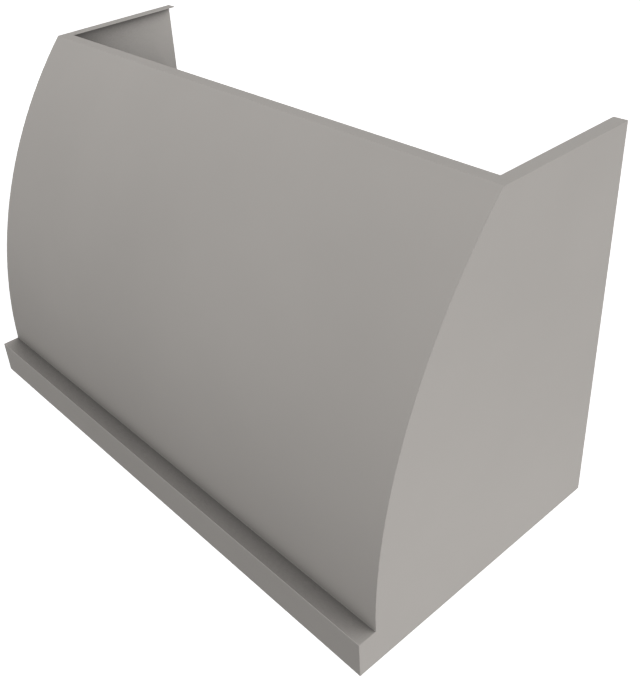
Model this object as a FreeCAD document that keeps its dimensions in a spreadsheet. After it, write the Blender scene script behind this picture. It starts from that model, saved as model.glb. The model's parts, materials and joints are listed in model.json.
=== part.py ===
import FreeCAD, Part
import math
import os
import re
import Sketcher

# Driving dimensions in millimetres (angles in degrees): alias, value, meaning
DIMENSIONS = (
    ("hood_width", 1219.2, "outside width of the shell"),
    ("hood_height", 762, "height from the lip's underside to the top flange"),
    ("hood_depth", 609.6, "depth from the wall to the lip's front face"),
    ("top_depth", 304.8, "depth at the top"),
    ("lip_height", 76.2, "height of the straight front lip"),
    ("lip_depth", 38.1, "ledge between the lip and the curved face"),
    ("rim_flange", 24, "inward flange round the top"),
    ("return_flange", 24, "inward flange round the bottom"),
    ("shell_gauge", 1.5, "sheet of the shell"),
    ("bend_radius", 0.3, "inside radius of a fold"),
    ("groove_web", 0.5, "sheet left under the grooves at which the front panel is folded"),
    ("seam_radius", 1.2, "rounded seam of a side panel"),
    ("rail_depth", 40, "bottom flange of the lower rear rail"),
    ("rail_height", 60, "web of the lower rear rail"),
    ("rail_lip", 20, "top flange of the lower rear rail"),
    ("wall_hole_spacing", 406.4, "distance between wall studs"),
    ("wall_hole_pitch", 20, "distance between the two screws on one wall stud"),
    ("wall_hole_radius", 3.5, "hole for a wall screw"),
    ("cleat_gauge", 3, "sheet of the hanging rail and of the wall cleat"),
    ("cleat_drop", 180, "top of the hanging rail below the top flange"),
    ("cleat_flange", 45, "tall flange of the hanging rail and of the wall cleat"),
    ("cleat_lap", 20, "overlap of the two hooks"),
    ("cleat_play", 1, "gap between the two hooks"),
    ("tab_depth", 40, "end tab of the hanging rail"),
    ("tab_pitch", 20, "distance between the two studs of an end tab"),
    ("stud_radius", 3, "weld stud"),
    ("stud_clearance", 0.3, "gap round a stud in its hole"),
    ("nut_radius", 5.8, "corner radius of a stud's nut"),
    ("nut_height", 5, "height of a stud's nut"),
    ("stud_tip", 2, "thread that shows past a nut"),
    ("liner_gauge", 1, "sheet of the liner"),
    ("liner_rise", 70, "height of the liner's skirt"),
    ("skirt_run", 40, "slope of the liner's skirt, measured level"),
    ("liner_clearance", 2, "gap between the liner and the shell"),
    ("front_strip", 115, "deck in front of the filter bay"),
    ("bay_side", 45, "deck beside the filter bay"),
    ("bay_back", 30, "deck behind the filter bay"),
    ("filter_thickness", 25, "thickness of a filter"),
    ("filter_gap", 2, "gap round a filter"),
    ("filter_drop", 8, "filter below the underside of the deck"),
    ("filter_gauge", 1, "sheet of a filter's frame"),
    ("filter_lip", 14, "inward lip of a filter's frame"),
    ("blade_gauge", 0.8, "sheet of a baffle"),
    ("blade_width", 32, "width of a baffle"),
    ("blade_height", 9, "height of a baffle"),
    ("blade_bend", 1.2, "inside radius of a baffle's fold"),
    ("hinge_offset", 6, "hinge line behind a filter's frame"),
    ("hinge_rise", 5, "hinge line above a filter's underside"),
    ("rod_radius", 2.5, "hinge rod"),
    ("rod_clearance", 0.1, "gap between a hinge rod and its hook"),
    ("rod_inset", 10, "hinge rod's end inside the filter's side"),
    ("lug_wall", 2, "metal round the rod in a lug"),
    ("lug_width", 8, "width of a lug"),
    ("lug_spread", 140, "outer lugs from the filter's middle"),
    ("hook_gauge", 1.5, "sheet of a hook"),
    ("hook_width", 16, "width of a hook"),
    ("hook_flange", 12, "flange of a hook on the deck"),
    ("hook_spread", 100, "hooks from the filter's middle"),
    ("stop_flange", 15, "foot of the stop rail"),
    ("stop_reach", 14, "stop rail over the filters"),
    ("magnet_length", 20, "magnet along the stop rail"),
    ("magnet_width", 10, "magnet across the stop rail"),
    ("magnet_height", 4, "thickness of a magnet"),
    ("magnet_gap", 0.3, "gap between a magnet and a filter"),
    ("magnet_spread", 100, "magnets from the filter's middle"),
    ("handle_span", 96, "handle from leg to leg"),
    ("handle_drop", 24, "handle below the filter"),
    ("handle_bend", 10, "bend of the handle"),
    ("handle_radius", 3, "rod of the handle"),
    ("lamp_radius", 38, "outside of a lamp's bezel"),
    ("lamp_hole_radius", 31, "hole for a lamp in the deck"),
    ("lamp_edge", 90, "outer lamp from the deck's side"),
    ("bezel_height", 3, "bezel below the deck"),
    ("bezel_lip", 2.5, "ledge that carries the lens"),
    ("bezel_wall", 2, "wall of the bezel's tube"),
    ("bezel_tube", 12, "bezel above the underside of the deck"),
    ("bezel_play", 0.5, "gap between the bezel's tube and its hole"),
    ("snap_bulge", 1.2, "snap ring that holds the bezel up"),
    ("lens_thickness", 2.2, "thickness of a lens"),
    ("lamp_height", 30, "lamp body above its lens"),
    ("fin_pitch", 6, "distance between cooling fins"),
    ("fin_depth", 6, "depth of a groove between fins"),
    ("fin_gap", 3, "width of a groove between fins"),
    ("panel_width", 220, "control fascia, side to side"),
    ("panel_depth", 50, "control fascia, front to back"),
    ("panel_corner", 8, "corner radius of the fascia"),
    ("panel_lap", 10, "fascia past its hole in the deck"),
    ("fascia_gauge", 2.5, "thickness of the fascia"),
    ("fascia_edge", 1, "rounded rim of the fascia"),
    ("button_radius", 8, "push button"),
    ("button_pitch", 38, "distance between buttons"),
    ("button_proud", 3.5, "button below the fascia"),
    ("button_edge", 1, "chamfer of a button"),
    ("button_play", 0.2, "gap round a button"),
    ("button_travel", 2.5, "travel of a button"),
    ("button_collar", 1.5, "thickness of a button's collar"),
    ("button_stem", 3, "length of a button's stem"),
    ("switch_gap", 0.3, "gap between a pressed stem and its switch"),
    ("switch_height", 4, "height of a switch"),
    ("switch_size", 8, "side of a switch"),
    ("board_gauge", 1.6, "thickness of the circuit board"),
    ("board_clearance", 2, "gap round the circuit board"),
    ("case_gauge", 1.2, "wall of the control case"),
    ("case_headroom", 9, "room above the circuit board"),
    ("post_radius", 3, "post of the control case"),
    ("plenum_gauge", 1, "sheet of the plenum and of the blower box"),
    ("plenum_margin", 18, "plenum outside the filter bay"),
    ("plenum_flange", 10, "foot of the plenum"),
    ("plenum_wall", 28, "straight wall at the plenum's foot"),
    ("plenum_rise", 100, "height of the plenum"),
    ("box_flange", 12, "flange between the plenum and the blower box"),
    ("lid_rim", 14, "turned-down rim of the blower box's lid"),
    ("rib_length", 340, "stiffening rib of the blower box"),
    ("rib_width", 16, "width of a stiffening rib"),
    ("rib_depth", 4, "depth of a stiffening rib"),
    ("rib_pitch", 70, "distance between stiffening ribs"),
    ("blower_back", 45, "blower box from the wall"),
    ("box_clear", 5, "gap between a scroll and the blower box"),
    ("inlet_space", 60, "room at a scroll's inlet"),
    ("inlet_gap", 32, "room between the filters and the scrolls"),
    ("scroll_gauge", 1.2, "sheet of a scroll"),
    ("scroll_width", 100, "width of a scroll"),
    ("scroll_gap", 22, "gap between the motor and a scroll"),
    ("scroll_flange", 8, "flange at a scroll's outlet"),
    ("tongue_gap", 12, "gap between the wheel and the scroll at its start"),
    ("volute_step", 18, "growth of the scroll in each quarter turn"),
    ("neck_height", 52, "straight outlet of a scroll"),
    ("inlet_radius", 74, "inlet of a scroll"),
    ("inlet_flare", 14, "flare of an inlet ring"),
    ("ring_gauge", 1.5, "sheet of an inlet ring"),
    ("wheel_radius", 95, "blower wheel"),
    ("wheel_width", 80, "width of a blower wheel"),
    ("blade_ring", 17, "depth of a wheel's blade, along the radius"),
    ("blade_sweep", 11, "angle that a blade leans forward"),
    ("blade_angle", 0.9, "angle that a blade's thickness fills"),
    ("blade_curve", 24, "curve of a blade"),
    ("disc_gauge", 2, "back disc and rim of a wheel"),
    ("rim_width", 7, "rim of a wheel"),
    ("hub_radius", 16, "hub of a wheel"),
    ("hub_length", 26, "length of a hub"),
    ("shaft_radius", 6, "motor shaft"),
    ("shaft_clearance", 0.05, "running gap round the shaft"),
    ("shaft_tip", 4, "shaft past a hub"),
    ("motor_radius", 58, "motor"),
    ("motor_length", 100, "motor's can"),
    ("core_radius", 11, "hole through the motor's can"),
    ("bell_depth", 12, "end bell of the motor"),
    ("bell_shoulder", 6, "slope of an end bell"),
    ("vent_width", 7, "vent in an end bell"),
    ("vent_inner", 25, "inner end of a vent"),
    ("vent_outer", 44, "outer end of a vent"),
    ("boss_radius", 20, "bearing boss"),
    ("bearing_radius", 14, "bearing"),
    ("bearing_width", 8, "width of a bearing"),
    ("band_gauge", 3, "motor's hanger"),
    ("band_width", 44, "width of the hanger's band"),
    ("band_foot", 60, "foot of the hanger, front to back"),
    ("fit_clearance", 0.05, "gap between pieces clamped together"),
    ("transition_margin", 4, "transition outside the outlets"),
    ("transition_height", 80, "height of the transition"),
    ("transition_wall", 12, "straight wall at the transition's foot"),
    ("duct_flange", 12, "foot of the transition on the lid"),
    ("collar_radius", 126, "outside of the duct collar"),
    ("collar_height", 60, "height of the duct collar"),
    ("collar_setback", 145, "middle of the collar from the wall"),
    ("bead_low", 6, "start of the collar's bead"),
    ("bead_width", 7, "width of the collar's bead"),
    ("bead_height", 3, "height of the collar's bead"),
    ("flap_rise", 24, "damper above the collar's foot"),
    ("flap_gauge", 1, "sheet of a damper flap"),
    ("flap_gap", 1.5, "gap between a flap and the collar"),
    ("knuckle_wall", 1.8, "wall of a damper knuckle"),
    ("knuckle_length", 36, "length of a damper knuckle"),
    ("knuckle_gap", 1, "gap beside a damper knuckle"),
    ("pin_radius", 2.5, "damper pin"),
    ("pin_clearance", 0.08, "running gap round the damper pin"),
    ("seal_width", 6, "damper seal"),
    ("seal_height", 4, "thickness of the damper seal"),
    ("junction_width", 50, "junction box from the blower box"),
    ("junction_depth", 110, "junction box, front to back"),
    ("junction_height", 80, "height of the junction box"),
    ("junction_gauge", 1.2, "wall of the junction box"),
    ("junction_lift", 60, "junction box above the plenum"),
    ("gland_radius", 11, "cable gland"),
    ("gland_bore", 5.5, "bore of the cable gland"),
    ("gland_height", 18, "cable gland above the junction box"),
    ("capacitor_radius", 20, "motor capacitor"),
    ("capacitor_height", 75, "length of the capacitor"),
    ("crimp_height", 5, "crimped rim at the capacitor's head"),
    ("crimp_groove", 1, "depth of the groove under the rim"),
    ("terminal_width", 6.3, "capacitor terminal"),
    ("terminal_gauge", 0.8, "sheet of a terminal"),
    ("terminal_height", 8, "height of a terminal"),
    ("terminal_gap", 14, "distance between the terminals"),
    ("strap_width", 18, "capacitor strap"),
    ("strap_gauge", 1.5, "sheet of the capacitor strap"),
)
CELLS = {alias for alias, _, _ in DIMENSIONS}

# Counts
FILTER_NAMES = ("left", "center", "right")
BAFFLE_COUNT = 7
BUTTON_COUNT = 5
BLADE_COUNT = 30
FIN_COUNT = 3
VENT_COUNT = 10

# Sizes that follow from the driving dimensions
DERIVED = {
    "half_width": "hood_width / 2",
    "inner_half": "half_width - shell_gauge",
    "face_foot": "hood_depth - lip_depth",
    "arc_rise": "hood_height - lip_height",
    "arc_centre": "(arc_rise^2 + top_depth^2 - face_foot^2) / (2 * (face_foot - top_depth))",
    "arc_radius": "face_foot + arc_centre",
    "inner_radius": "arc_radius - shell_gauge",
    "inner_top": "sqrt(inner_radius^2 - (arc_rise - shell_gauge)^2) - arc_centre",
    "inner_foot": "sqrt(inner_radius^2 - shell_gauge^2) - arc_centre",
    "rim_back": "top_depth - rim_flange",
    "return_back": "hood_depth - shell_gauge - return_flange",
    "hook_one": "cleat_play + cleat_gauge",
    "hook_two": "2 * cleat_play + 2 * cleat_gauge",
    "hook_three": "3 * cleat_play + 3 * cleat_gauge",
    "cleat_top": "hood_height - cleat_drop",
    "cleat_seat": "cleat_top - cleat_flange",
    "tab_middle": "(cleat_seat + cleat_top) / 2",
    "tab_stud_depth": "hook_three + tab_depth / 2",
    "cleat_web": "cleat_seat - cleat_lap - cleat_play",
    "cleat_low": "cleat_web - cleat_gauge - cleat_flange",
    "wall_hole_height": "cleat_low + cleat_flange / 2",
    "foot_half": "inner_half - return_flange",
    "deck_half": "foot_half - skirt_run",
    "deck_front": "return_back - skirt_run",
    "deck_rear": "rail_depth + skirt_run",
    "deck_under": "shell_gauge + liner_rise",
    "deck_top": "deck_under + liner_gauge",
    "bay_half": "deck_half - bay_side",
    "bay_front": "deck_front - front_strip",
    "bay_rear": "deck_rear + bay_back",
    "stud_pitch": "foot_half / 2",
    "filter_pitch": f"(2 * bay_half - filter_gap) / {len(FILTER_NAMES)}",
    "filter_width": "filter_pitch - filter_gap",
    "filter_low": "deck_under - filter_drop",
    "filter_high": "filter_low + filter_thickness",
    "cradle_radius": "rod_radius + rod_clearance",
    "hook_radius": "cradle_radius + hook_gauge",
    "hinge_depth": "bay_rear + hook_radius",
    "hinge_height": "filter_low + hinge_rise",
    "frame_front": "bay_front - filter_gap - hinge_depth",
    "frame_low": "0 - hinge_rise",
    "frame_high": "filter_thickness - hinge_rise",
    "lug_radius": "rod_radius + lug_wall",
    "baffle_half": "filter_width / 2 - filter_gauge",
    "baffle_pitch": f"2 * baffle_half / {BAFFLE_COUNT}",
    "stop_height": "filter_high + magnet_gap + magnet_height",
    "plenum_half": "bay_half + plenum_margin",
    "plenum_front": "bay_front + plenum_margin",
    "plenum_rear": "bay_rear - plenum_margin",
    "plenum_top": "deck_top + plenum_rise",
    "strip_depth": "(deck_front + plenum_front + plenum_flange) / 2",
    "lamp_outer": "deck_half - lamp_edge",
    "lamp_inner": "(lamp_outer + panel_width / 2) / 2",
    "tube_radius": "lamp_hole_radius - bezel_play",
    "well_radius": "tube_radius - bezel_wall",
    "lens_radius": "well_radius - fit_clearance",
    "fascia_low": "deck_under - fascia_gauge",
    "stem_top": "fascia_gauge + button_collar + button_stem",
    "switch_low": "fascia_low + stem_top + button_travel + switch_gap",
    "board_low": "switch_low + switch_height",
    "board_top": "board_low + board_gauge",
    "case_top": "board_top + case_headroom + case_gauge",
    "volute_half": "volute_step / 2",
    "volute_one": "wheel_radius + tongue_gap",
    "volute_two": "volute_one + volute_step",
    "volute_three": "volute_two + volute_step",
    "axis_height": "filter_high + inlet_gap + volute_three + scroll_gauge - volute_half",
    "axis_depth": "blower_back + plenum_gauge + box_clear + scroll_gauge + volute_three + volute_half",
    "neck_top": "volute_one - volute_half + neck_height",
    "box_top": "axis_height + neck_top",
    "bell_end": "motor_length / 2 + bell_depth",
    "scroll_inner": "bell_end + scroll_gap",
    "scroll_middle": "scroll_inner + scroll_width / 2",
    "scroll_outer": "scroll_inner + scroll_width",
    "box_half": "scroll_outer + inlet_space",
    "box_front": "axis_depth + volute_two - volute_half + scroll_gauge + box_clear + plenum_gauge",
    "blade_foot": "wheel_radius - blade_ring",
    "wheel_half": "wheel_width / 2",
    "shaft_half": "scroll_middle - wheel_half + disc_gauge + hub_length + shaft_tip",
    "transition_half": "scroll_outer + transition_margin",
    "transition_front": "axis_depth + volute_half + scroll_gauge + transition_margin",
    "transition_rear": "blower_back + plenum_gauge",
    "transition_low": "box_top + plenum_gauge",
    "transition_top": "transition_low + transition_height",
    "bore_radius": "collar_radius - plenum_gauge",
    "flap_height": "transition_top + flap_rise",
    "flap_radius": "bore_radius - flap_gap",
    "knuckle_bore": "pin_radius + pin_clearance",
    "knuckle_radius": "knuckle_bore + knuckle_wall",
    "flap_edge": "knuckle_radius + knuckle_gap",
    "strap_reach": "capacitor_radius + fit_clearance + strap_gauge",
    "junction_low": "plenum_top + junction_lift",
    "junction_middle": "(blower_back + box_front) / 2",
}

doc = FreeCAD.newDocument("range_hood")
dims = doc.addObject("Spreadsheet::Sheet", "dims")
for row, (alias, number, meaning) in enumerate(DIMENSIONS, start=1):
    dims.set(f"A{row}", meaning)
    dims.set(f"B{row}", str(number))
    dims.setAlias(f"B{row}", alias)
doc.recompute()

pieces = []


def expand(text):
    """Writes an expression of named sizes in terms of the sheet's cells."""
    def cell(match):
        word = match.group(0)
        if word in DERIVED:
            return f"({expand(DERIVED[word])})"
        return f"dims.{word}" if word in CELLS else word
    return re.sub(r"[a-z_]+", cell, text)


def value(text):
    return float(dims.evalExpression(expand(text)))


def bind(item, prop, text):
    item.setExpression(prop, expand(text))


def place(item, x="0", y="0", z="0"):
    bind(item, "Placement.Base.x", x)
    bind(item, "Placement.Base.y", y)
    bind(item, "Placement.Base.z", z)
    return item


def piece(item, label):
    """Names a finished sub-part."""
    item.Label = label
    pieces.append(item)
    return item


def loose_body(x="0", y="0", z="0"):
    return place(doc.addObject("PartDesign::Body", "body"), x, y, z)


def new_body(label, x="0", y="0", z="0"):
    return piece(loose_body(x, y, z), label)


def origin(body, role):
    return next(feature for feature in body.Origin.OriginFeatures if feature.Role == role)


def arc_between(start, end, radius, turn):
    """The short arc from start to end, counter-clockwise for turn 1 and clockwise for -1."""
    middle = (start + end) * 0.5
    chord = end - start
    height = math.sqrt(max(radius**2 - (chord.Length / 2) ** 2, 0))
    left = FreeCAD.Vector(-chord.y, chord.x, 0).normalize()
    centre = middle + left * height * turn
    first, last = (start, end) if turn > 0 else (end, start)
    angles = [math.atan2(point.y - centre.y, point.x - centre.x) for point in (first, last)]
    circle = Part.Circle(centre, FreeCAD.Vector(0, 0, 1), radius)
    return Part.ArcOfCircle(circle, angles[0], angles[1])


def fix_size(sketch, constraint, text):
    """Adds a dimension to a sketch and binds it to an expression."""
    index = sketch.addConstraint(constraint)
    name = f"size_{index}"
    sketch.renameConstraint(index, name)
    bind(sketch, f"Constraints.{name}", text)


def add_loop(sketch, corners, closed=True):
    """Corners are (u, v), or (u, v, radius, turn) where an arc reaches the corner."""
    points = [FreeCAD.Vector(value(corner[0]), value(corner[1]), 0) for corner in corners]
    ends = {}
    steps = range(len(corners)) if closed else range(1, len(corners))
    for step in steps:
        start, end = points[step - 1], points[step]
        if len(corners[step]) == 4:
            radius, turn = corners[step][2], corners[step][3]
            edge = sketch.addGeometry(arc_between(start, end, value(radius), turn), False)
            fix_size(sketch, Sketcher.Constraint("Radius", edge, value(radius)), radius)
            ends[step] = (edge, 1, 2) if turn > 0 else (edge, 2, 1)
        else:
            ends[step] = (sketch.addGeometry(Part.LineSegment(start, end), False), 1, 2)
    for step in steps:
        following = (step + 1) % len(corners)
        if following in ends:
            edge, _, last = ends[step]
            other, first, _ = ends[following]
            sketch.addConstraint(Sketcher.Constraint("Coincident", edge, last, other, first))
    for index, corner in enumerate(corners):
        edge, first, last = ends[index] if index in ends else ends[index + 1]
        spot = last if index in ends else first
        for axis, text in (("DistanceX", corner[0]), ("DistanceY", corner[1])):
            fix_size(sketch, Sketcher.Constraint(axis, -1, 1, edge, spot, value(text)), text)


def add_circle(sketch, u, v, radius):
    centre = FreeCAD.Vector(value(u), value(v), 0)
    ring = Part.Circle(centre, FreeCAD.Vector(0, 0, 1), value(radius))
    edge = sketch.addGeometry(ring, False)
    fix_size(sketch, Sketcher.Constraint("Radius", edge, value(radius)), radius)
    for axis, text in (("DistanceX", u), ("DistanceY", v)):
        fix_size(sketch, Sketcher.Constraint(axis, -1, 1, edge, 3, value(text)), text)


def outline(body, role, *loops, offset="0", closed=True):
    """A sketch on an origin plane of a body. A loop of three texts is a circle: u, v, radius."""
    sketch = body.newObject("Sketcher::SketchObject", "outline")
    sketch.AttachmentSupport = [(origin(body, role), "")]
    sketch.MapMode = "FlatFace"
    bind(sketch, "AttachmentOffset.Base.z", offset)
    for loop in loops:
        if isinstance(loop[0], str):
            add_circle(sketch, *loop)
        else:
            add_loop(sketch, loop, closed)
    return sketch


def rectangle(u_low, u_high, v_low, v_high):
    return [(u_low, v_low), (u_high, v_low), (u_high, v_high), (u_low, v_high)]


def span(x_half, front, rear):
    """Edges of a rectangle about the middle plane, by its distances from the wall."""
    return f"-({x_half})", x_half, f"-({front})", f"-({rear})"


def grown(edges, step="0"):
    """A rectangle whose edges lie a step outside the ones given."""
    left, right, front, rear = edges
    return rectangle(f"{left} - ({step})", f"{right} + ({step})", f"{front} - ({step})", f"{rear} + ({step})")


def pad(body, sketch, length, symmetric=False, reverse=False):
    feature = body.newObject("PartDesign::Pad", "pad")
    feature.Profile = sketch
    feature.SideType = "Symmetric" if symmetric else "One side"
    feature.Reversed = reverse
    bind(feature, "Length", length)
    return feature


def pocket(body, sketch, length=None, symmetric=True, reverse=False):
    """Cuts a sketch out of a body, right through it where no length is given."""
    doc.recompute()
    before = body.Shape.Volume
    feature = body.newObject("PartDesign::Pocket", "pocket")
    feature.Profile = sketch
    feature.SideType = "Symmetric" if symmetric else "One side"
    feature.Reversed = reverse
    if length is None:
        feature.Type = "ThroughAll"
    else:
        bind(feature, "Length", length)
    doc.recompute()
    if body.Shape.Volume >= before:
        raise ValueError(f"{body.Label}: a pocket cuts nothing")
    return feature


def spin(body, sketch, axis):
    feature = body.newObject("PartDesign::Revolution", "revolution")
    feature.Profile = sketch
    feature.ReferenceAxis = (sketch, [axis])
    feature.Angle = 360
    return feature


def loft(body, kind, first, second):
    feature = body.newObject(f"PartDesign::{kind}Loft", "loft")
    feature.Profile = first
    feature.Sections = [(second, [""])]
    feature.Ruled = True
    return feature


def turned(body, feature, count):
    """Repeats a feature evenly round the body's X axis."""
    doc.recompute()
    pattern = body.newObject("PartDesign::PolarPattern", "pattern")
    pattern.Originals = [feature]
    pattern.Axis = (origin(body, "X_Axis"), [""])
    pattern.Angle = 360
    pattern.Occurrences = count
    body.Tip = pattern
    doc.recompute()
    return pattern


def round_edges(body, feature, picked, radius):
    """Rounds the edges of a feature for which picked is true."""
    doc.recompute()
    names = [f"Edge{number}" for number, edge in enumerate(feature.Shape.Edges, start=1) if picked(edge)]
    rounded = body.newObject("PartDesign::Fillet", "fillet")
    rounded.Base = (feature, names)
    bind(rounded, "Radius", radius)
    return rounded


def runs_along_x(spots):
    """Picks the edges that run along X at one of the spots, given as (y, z)."""
    places = [(value(y), value(z)) for y, z in spots]

    def picked(edge):
        return any(all(math.hypot(corner.Point.y - y, corner.Point.z - z) < 0.01
                       for corner in edge.Vertexes) for y, z in places)
    return picked


def fold(body, feature, inside, outside, radius, gauge):
    """Rounds the bends of a folded sheet; the gauge is the sheet's thickness in the bend."""
    rounded = round_edges(body, feature, runs_along_x(inside), radius)
    return round_edges(body, rounded, runs_along_x(outside), f"{radius} + {gauge}")


def block(name, x, y, z):
    """A plain block between pairs of positions."""
    item = doc.addObject("Part::Box", name)
    for prop, (low, high) in zip(("Length", "Width", "Height"), (x, y, z)):
        bind(item, prop, f"({high}) - ({low})")
    return place(item, x[0], y[0], z[0])


def group(label, items):
    """Separate like solids that share one node."""
    item = doc.addObject("Part::Compound", label)
    item.Links = items
    return piece(item, label)


def reflection(source):
    """The same piece on the other side of the hood's middle plane."""
    item = doc.addObject("Part::Mirroring", "reflection")
    item.Source = source
    item.Normal = FreeCAD.Vector(1, 0, 0)
    return item


def pair(label, item):
    """Two like solids, one on each side, that share one node."""
    return group(label, [reflection(item), item])


# Shell

FACE_ARC = ("-face_foot", "lip_height", "arc_radius", 1)


def front_panel():
    """One sheet: top flange, curved face, ledge, lip and bottom flange."""
    body = new_body("front_panel")
    sheet = outline(body, "YZ_Plane", [
        ("-rim_back", "hood_height"),
        ("-top_depth", "hood_height"),
        FACE_ARC,
        ("-hood_depth", "lip_height"),
        ("-hood_depth", "0"),
        ("-return_back", "0"),
        ("-return_back", "shell_gauge"),
        ("-(hood_depth - shell_gauge)", "shell_gauge"),
        ("-(hood_depth - shell_gauge)", "lip_height - shell_gauge"),
        ("-inner_foot", "lip_height - shell_gauge"),
        ("-inner_top", "hood_height - shell_gauge", "inner_radius", -1),
        ("-rim_back", "hood_height - shell_gauge"),
    ])
    folded = pad(body, sheet, "2 * inner_half", symmetric=True)
    inside = [
        ("-face_foot", "lip_height"),
        ("-(hood_depth - shell_gauge)", "shell_gauge"),
        ("-(hood_depth - shell_gauge)", "lip_height - shell_gauge"),
        ("-inner_top", "hood_height - shell_gauge"),
    ]
    outside = [
        ("-top_depth", "hood_height"),
        ("-hood_depth", "lip_height"),
        ("-hood_depth", "0"),
        ("-inner_foot", "lip_height - shell_gauge"),
    ]
    fold(body, folded, inside, outside, "bend_radius", "groove_web")


def side_panel(name, side):
    """Flat side with an inward flange at the top and at the bottom; side is 1 for right, -1 for left."""
    body = new_body(name, x=f"{side} * inner_half")
    on_right = side > 0
    sheet = outline(body, "YZ_Plane", [
        ("0", "0"),
        ("0", "hood_height"),
        ("-top_depth", "hood_height"),
        FACE_ARC,
        ("-hood_depth", "lip_height"),
        ("-hood_depth", "0"),
    ])
    pad(body, sheet, "shell_gauge", reverse=not on_right)
    rim = rectangle("-rim_back", "0", "hood_height - shell_gauge", "hood_height")
    pad(body, outline(body, "YZ_Plane", rim), "rim_flange", reverse=on_right)
    foot = rectangle("-return_back", "-rail_depth", "0", "shell_gauge")
    folded = pad(body, outline(body, "YZ_Plane", foot), "return_flange", reverse=on_right)
    outer_face = side * value("shell_gauge")
    round_edges(body, folded, lambda edge: abs(edge.BoundBox.Center.x - outer_face) < 0.01, "seam_radius")


def wall_holes(body, height):
    """Two holes for wall screws, one on each wall stud."""
    holes = [(f"{side} * wall_hole_spacing / 2", height, "wall_hole_radius") for side in (-1, 1)]
    return pocket(body, outline(body, "XZ_Plane", *holes))


def lower_rear_rail():
    """Channel between the side panels, screwed to the wall: lip folded, floor welded on square."""
    body = new_body("lower_rear_rail")
    channel = outline(body, "YZ_Plane", [
        ("0", "0"),
        ("0", "rail_height"),
        ("-rail_lip", "rail_height"),
        ("-rail_lip", "rail_height - shell_gauge"),
        ("-shell_gauge", "rail_height - shell_gauge"),
        ("-shell_gauge", "shell_gauge"),
        ("-rail_depth", "shell_gauge"),
        ("-rail_depth", "0"),
    ])
    sheet = pad(body, channel, "2 * inner_half", symmetric=True)
    inside = [("-shell_gauge", "rail_height - shell_gauge")]
    fold(body, sheet, inside, [("0", "rail_height")], "bend_radius", "shell_gauge")
    wall_holes(body, "rail_height / 2")


def hanging_rail():
    """Hook of the hood: it drops behind the wall cleat's hook, with a tab at each end."""
    body = new_body("hanging_rail")
    hook = outline(body, "YZ_Plane", [
        ("-cleat_play", "cleat_seat - cleat_lap"),
        ("-cleat_play", "cleat_seat + cleat_gauge"),
        ("-(hook_three - cleat_gauge)", "cleat_seat + cleat_gauge"),
        ("-(hook_three - cleat_gauge)", "cleat_top"),
        ("-hook_three", "cleat_top"),
        ("-hook_three", "cleat_seat"),
        ("-hook_one", "cleat_seat"),
        ("-hook_one", "cleat_seat - cleat_lap"),
    ])
    sheet = pad(body, hook, "2 * inner_half", symmetric=True)
    inside = [("-(hook_three - cleat_gauge)", "cleat_seat + cleat_gauge"), ("-hook_one", "cleat_seat")]
    outside = [("-hook_three", "cleat_seat"), ("-cleat_play", "cleat_seat + cleat_gauge")]
    fold(body, sheet, inside, outside, "cleat_play / 2", "cleat_gauge")
    for side, reverse in (("", True), ("-", False)):
        tab = rectangle("-(hook_three + tab_depth)", "-hook_three", "cleat_seat", "cleat_top")
        end = outline(body, "YZ_Plane", tab, offset=f"{side}inner_half")
        pad(body, end, "cleat_gauge", reverse=reverse)
    holes = [("-tab_stud_depth", f"tab_middle + {step} * tab_pitch / 2", "stud_radius + stud_clearance")
             for step in (-1, 1)]
    pocket(body, outline(body, "YZ_Plane", *holes))


def wall_cleat():
    """Hook that is screwed to the wall and carries the hanging rail."""
    body = new_body("wall_cleat")
    hook = outline(body, "YZ_Plane", [
        ("0", "cleat_low"),
        ("0", "cleat_web"),
        ("-(hook_two - cleat_gauge)", "cleat_web"),
        ("-(hook_two - cleat_gauge)", "cleat_seat"),
        ("-hook_two", "cleat_seat"),
        ("-hook_two", "cleat_web - cleat_gauge"),
        ("-cleat_gauge", "cleat_web - cleat_gauge"),
        ("-cleat_gauge", "cleat_low"),
    ])
    sheet = pad(body, hook, "2 * foot_half", symmetric=True)
    inside = [("-(hook_two - cleat_gauge)", "cleat_web"), ("-cleat_gauge", "cleat_web - cleat_gauge")]
    outside = [("-hook_two", "cleat_web - cleat_gauge"), ("0", "cleat_web")]
    fold(body, sheet, inside, outside, "cleat_play / 2", "cleat_gauge")
    for step in (-1, 1):
        wall_holes(body, f"wall_hole_height + {step} * wall_hole_pitch / 2")


def stud(x, y, z, turn, grip):
    """A weld stud with its nut. The turn stands it up from what it is welded to."""
    shank = doc.addObject("Part::Cylinder", "shank")
    bind(shank, "Radius", "stud_radius")
    bind(shank, "Height", f"{grip} + nut_height + stud_tip")
    nut = doc.addObject("Part::Prism", "nut")
    nut.Polygon = 6
    bind(nut, "Circumradius", "nut_radius")
    bind(nut, "Height", "nut_height")
    bind(nut, "Placement.Base.z", grip)
    item = doc.addObject("Part::Fuse", "stud")
    item.Base = shank
    item.Tool = nut
    item.Placement = FreeCAD.Placement(FreeCAD.Vector(), turn)
    return place(item, x, y, z)


def rail_studs():
    """Studs inside the side panels that hold the hanging rail's end tabs."""
    items = []
    for side, angle in (("-", 90), ("", -90)):
        turn = FreeCAD.Rotation(FreeCAD.Vector(0, 1, 0), angle)
        for step in (-1, 1):
            height = f"tab_middle + {step} * tab_pitch / 2"
            items.append(stud(f"{side}inner_half", "-tab_stud_depth", height, turn, "cleat_gauge"))
    group("rail_studs", items)


# Liner

STUD_STEPS = (-1.5, -0.5, 0.5, 1.5)
SIDE_STEPS = (1, 2)


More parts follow.
